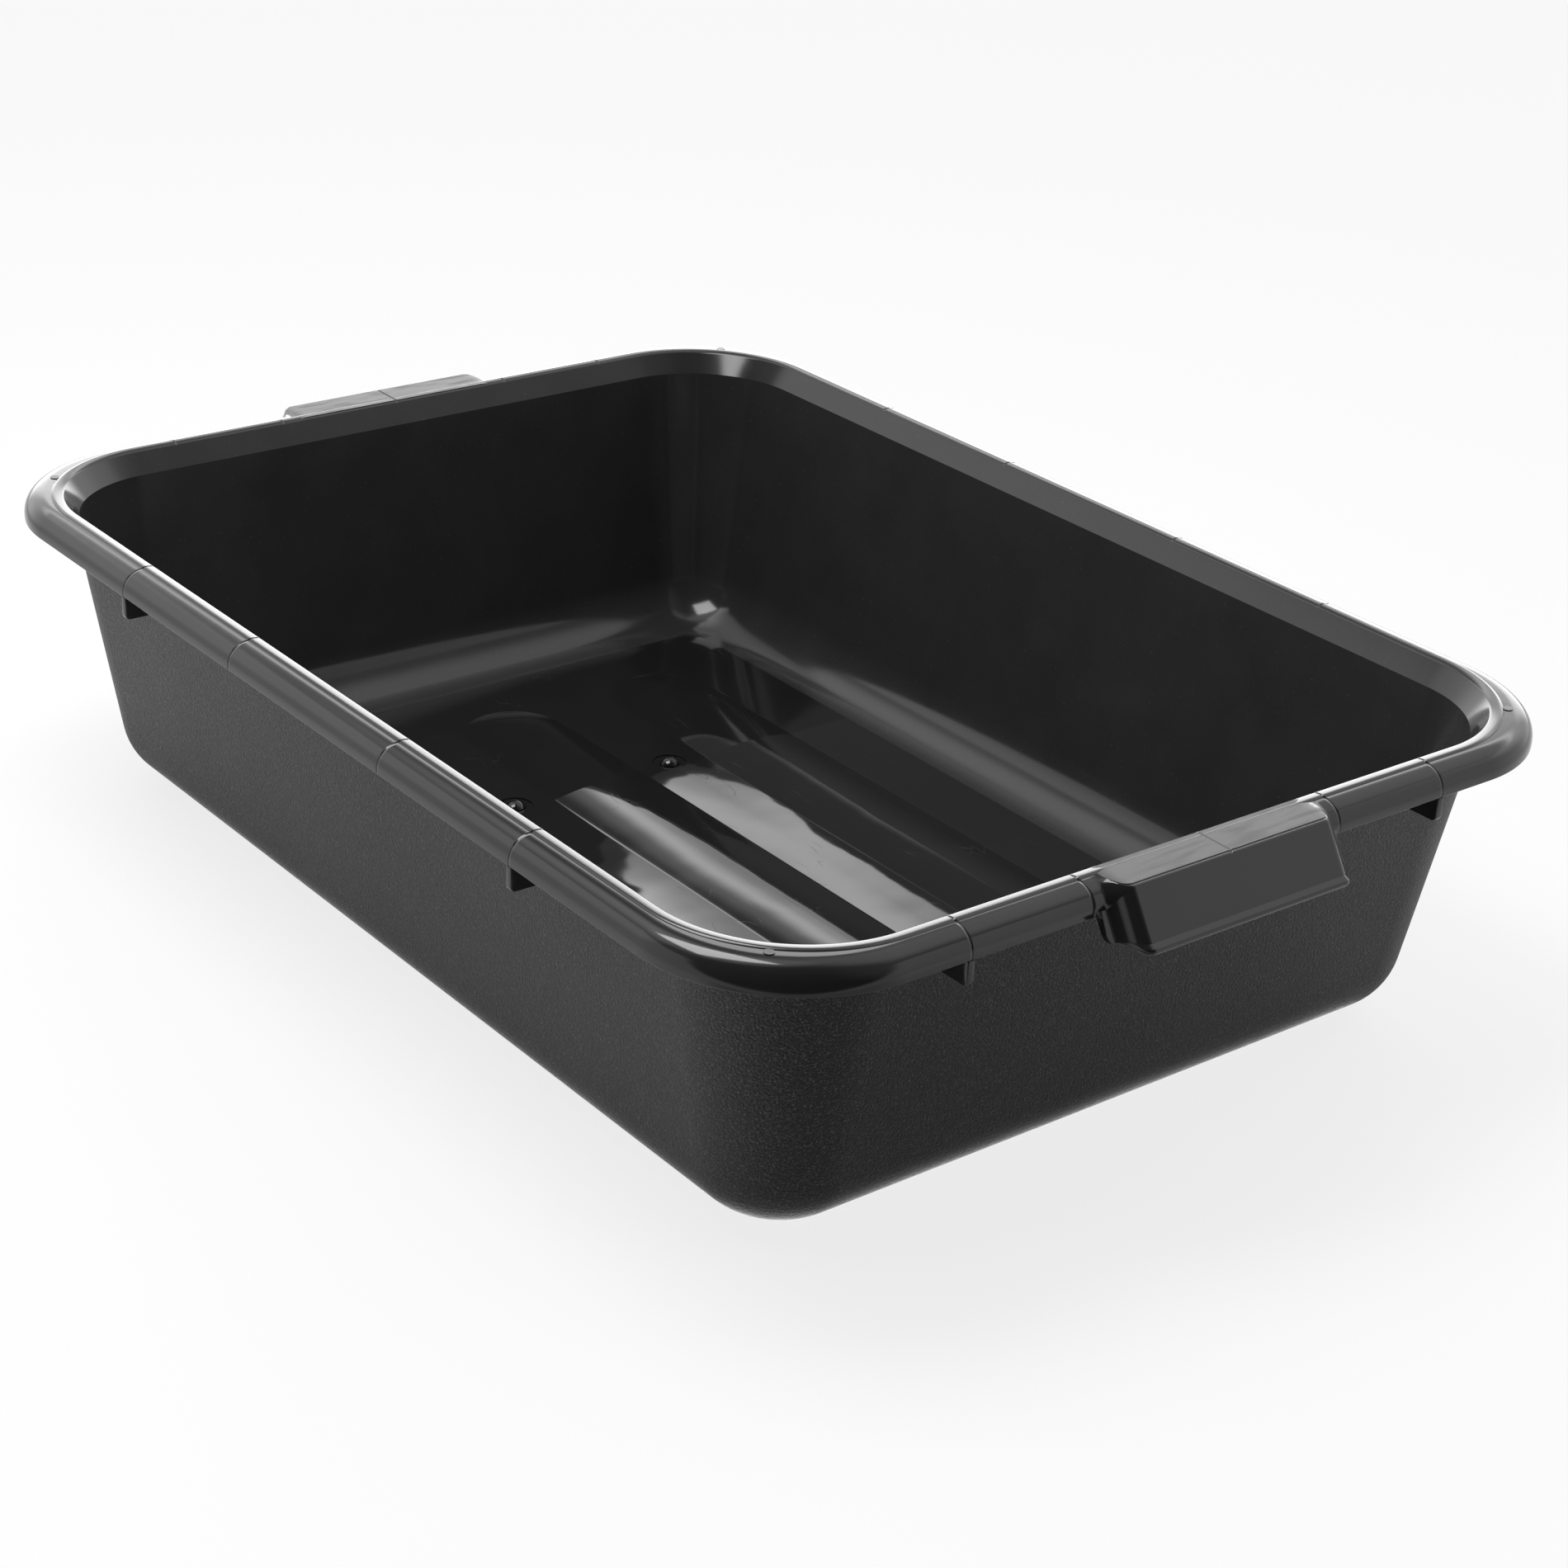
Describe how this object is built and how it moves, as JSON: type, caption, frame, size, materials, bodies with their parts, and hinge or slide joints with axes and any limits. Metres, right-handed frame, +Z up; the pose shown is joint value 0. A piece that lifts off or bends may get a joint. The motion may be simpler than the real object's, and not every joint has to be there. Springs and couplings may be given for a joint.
{
  "type": "carrying tub",
  "caption": "Deep rectangular plastic carrying tub with leaning walls, a rounded stiffened rim, a hollow grip at each short end, stacking lugs and low floor ribs.",
  "frame": {"origin": "middle of the underside, on the plane the tub rests on", "axes": "+X along the long sides towards the grip on the right, +Y towards the far long side, +Z up"},
  "size_m": [0.5668, 0.3906, 0.127],
  "materials": {
    "gloss_floor": "glossy black, slightly wavy, with fine scuffs",
    "stippled_wall": "fine matt stipple outside, smooth inside, black",
    "satin_rim": "satin black"
  },
  "bodies": {
    "root": {"floor_panel": "gloss_floor", "floor_rib_near": "gloss_floor", "floor_rib_middle": "gloss_floor", "floor_rib_far": "gloss_floor", "gate_domes": "gloss_floor", "long_wall_near": "stippled_wall", "long_wall_far": "stippled_wall", "end_wall_left": "stippled_wall", "end_wall_right": "stippled_wall", "corner_wall_near_left": "stippled_wall", "corner_wall_near_right": "stippled_wall", "corner_wall_far_left": "stippled_wall", "corner_wall_far_right": "stippled_wall", "rim_long_near": "satin_rim", "rim_long_far": "satin_rim", "rim_end_left": "satin_rim", "rim_end_right": "satin_rim", "rim_corner_near_left": "satin_rim", "rim_corner_near_right": "satin_rim", "rim_corner_far_left": "satin_rim", "rim_corner_far_right": "satin_rim", "rim_corner_marks": "satin_rim", "grip_left": "satin_rim", "grip_right": "satin_rim", "gussets_long": "satin_rim", "gussets_end": "satin_rim", "stacking_lugs_long": "satin_rim", "stacking_lugs_end": "satin_rim"}
  },
  "joints": []
}
